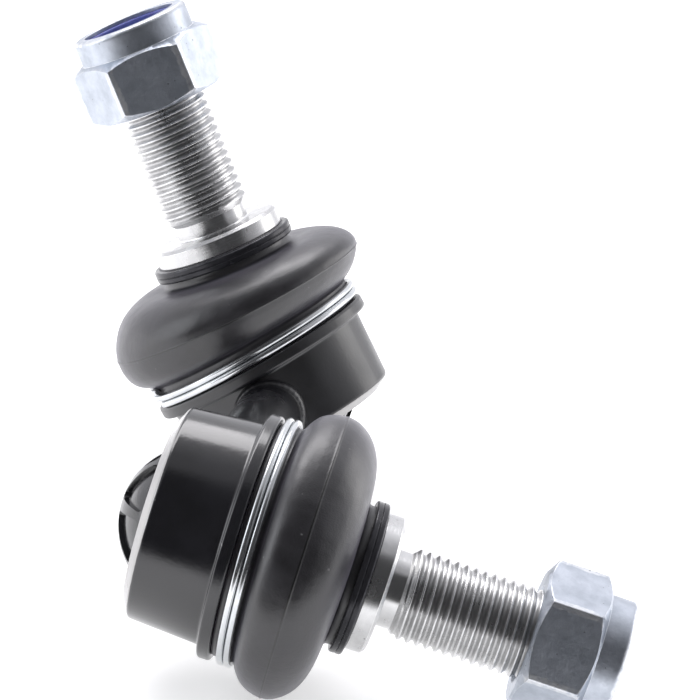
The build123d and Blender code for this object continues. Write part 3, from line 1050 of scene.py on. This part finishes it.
# Pieces that keep their CAD shape: the rod, the end caps and the ball seats
for name, part in frame["nodes"].items():
    part.data.materials.clear()
    part.data.materials.append(SEAT if name.endswith("ball_seat") else PAINT_CAD)


# Returns the camera's rotation
def make_camera():
    seen = axes_matrix(Vector(), SEEN_AXIS.normalized(), SEEN_ROD.normalized()).to_3x3()
    axis = housings["front"].to_3x3() @ Vector((0, 0, 1))
    here = axes_matrix(Vector(), axis, rod_dir).to_3x3()
    turn = here @ seen.transposed()
    data = bpy.data.cameras.new("camera")
    data.sensor_width = SENSOR_MM
    data.lens = SENSOR_MM * FOCAL_PX / PHOTO_PX
    data.clip_start, data.clip_end = CLIP
    camera = bpy.data.objects.new("camera", data)
    camera.matrix_world = turn.to_4x4()
    camera.location = housings["front"].translation - turn @ SEEN_BALL
    bpy.context.scene.collection.objects.link(camera)
    bpy.context.scene.camera = camera
    return turn


view_turn = make_camera()


def toward_camera(tree, vector):
    away = tuple(view_turn @ Vector((0, 0, 1)))
    return node(tree, "ShaderNodeVectorMath", {0: vector, 1: away}, operation="DOT_PRODUCT").outputs["Value"]


# Stage: a white floor and surround; shiny surfaces see the camera's side of it dark, as in a light tent
def make_floor():
    mesh = bpy.data.meshes.new("floor")
    corners = [(x * FLOOR_HALF, y * FLOOR_HALF, 0) for x, y in ((-1, -1), (1, -1), (1, 1), (-1, 1))]
    mesh.from_pydata(corners, [], [(0, 1, 2, 3)])
    material = bpy.data.materials.new("floor_white")
    material.use_nodes = True
    tree = material.node_tree
    shader = tree.nodes["Principled BSDF"]
    shader.inputs["Base Color"].default_value = grey(0.8)
    shader.inputs["Roughness"].default_value = 0.9
    shader.inputs["Emission Color"].default_value = grey(1.0)
    rays = node(tree, "ShaderNodeLightPath").outputs
    place = node(tree, "ShaderNodeTexCoord").outputs["Object"]
    in_front = ramp(tree, toward_camera(tree, place), FLOOR_FRONT, FLOOR_FRONT + FLOOR_FRONT_BLEND)
    seen = maths(tree, "ADD", rays["Is Camera Ray"], rays["Is Glossy Ray"])
    tree.links.new(maths(tree, "MULTIPLY", seen, FLOOR_LIFT), shader.inputs["Emission Strength"])
    dark = node(tree, "ShaderNodeEmission", {"Color": grey(1.0), "Strength": FLOOR_DARK})
    hidden = maths(tree, "MULTIPLY", in_front, rays["Is Glossy Ray"])
    mix = node(tree, "ShaderNodeMixShader", {0: hidden, 1: shader.outputs[0], 2: dark.outputs[0]})
    tree.links.new(mix.outputs[0], tree.nodes["Material Output"].inputs["Surface"])
    mesh.materials.append(material)
    floor = bpy.data.objects.new("floor", mesh)
    bpy.context.scene.collection.objects.link(floor)


def make_world():
    world = bpy.data.worlds.new("studio")
    bpy.context.scene.world = world
    world.use_nodes = True
    tree = world.node_tree
    rays = node(tree, "ShaderNodeLightPath").outputs
    facing = toward_camera(tree, node(tree, "ShaderNodeTexCoord").outputs["Generated"])
    mirror = maths(tree, "ADD", ramp(tree, facing, *MIRROR_SIDES), ramp(tree, facing, *MIRROR_BEHIND))
    lit = tree.nodes["Background"]
    lit.inputs["Color"].default_value = WORLD_COLOUR
    lit.inputs["Strength"].default_value = WORLD_LIGHT
    mirrored = node(tree, "ShaderNodeBackground", {"Color": WORLD_COLOUR, "Strength": mirror})
    white = node(tree, "ShaderNodeBackground", {"Color": grey(1.0), "Strength": 1.0})
    glossy = node(tree, "ShaderNodeMixShader", {0: rays["Is Glossy Ray"], 1: lit.outputs[0],
                                                2: mirrored.outputs[0]})
    mix = node(tree, "ShaderNodeMixShader", {0: rays["Is Camera Ray"], 1: glossy.outputs[0],
                                             2: white.outputs[0]})
    tree.links.new(mix.outputs[0], tree.nodes["World Output"].inputs["Surface"])


def softbox(name, toward, width, height, watts, colour):
    way = (view_turn @ Vector(toward)).normalized()
    data = bpy.data.lights.new(name, "AREA")
    data.shape = "RECTANGLE"
    data.size = width
    data.size_y = height
    data.energy = watts
    data.color = colour
    light = bpy.data.objects.new(name, data)
    light.rotation_mode = "QUATERNION"
    light.rotation_quaternion = (-way).to_track_quat("-Z", "Y")
    light.location = LIGHT_AIM + way * LIGHT_DISTANCE
    light.visible_camera = False
    bpy.context.scene.collection.objects.link(light)


make_floor()
make_world()
for light in LIGHTS:
    softbox(*light)
bpy.context.scene.view_settings.view_transform = "Standard"
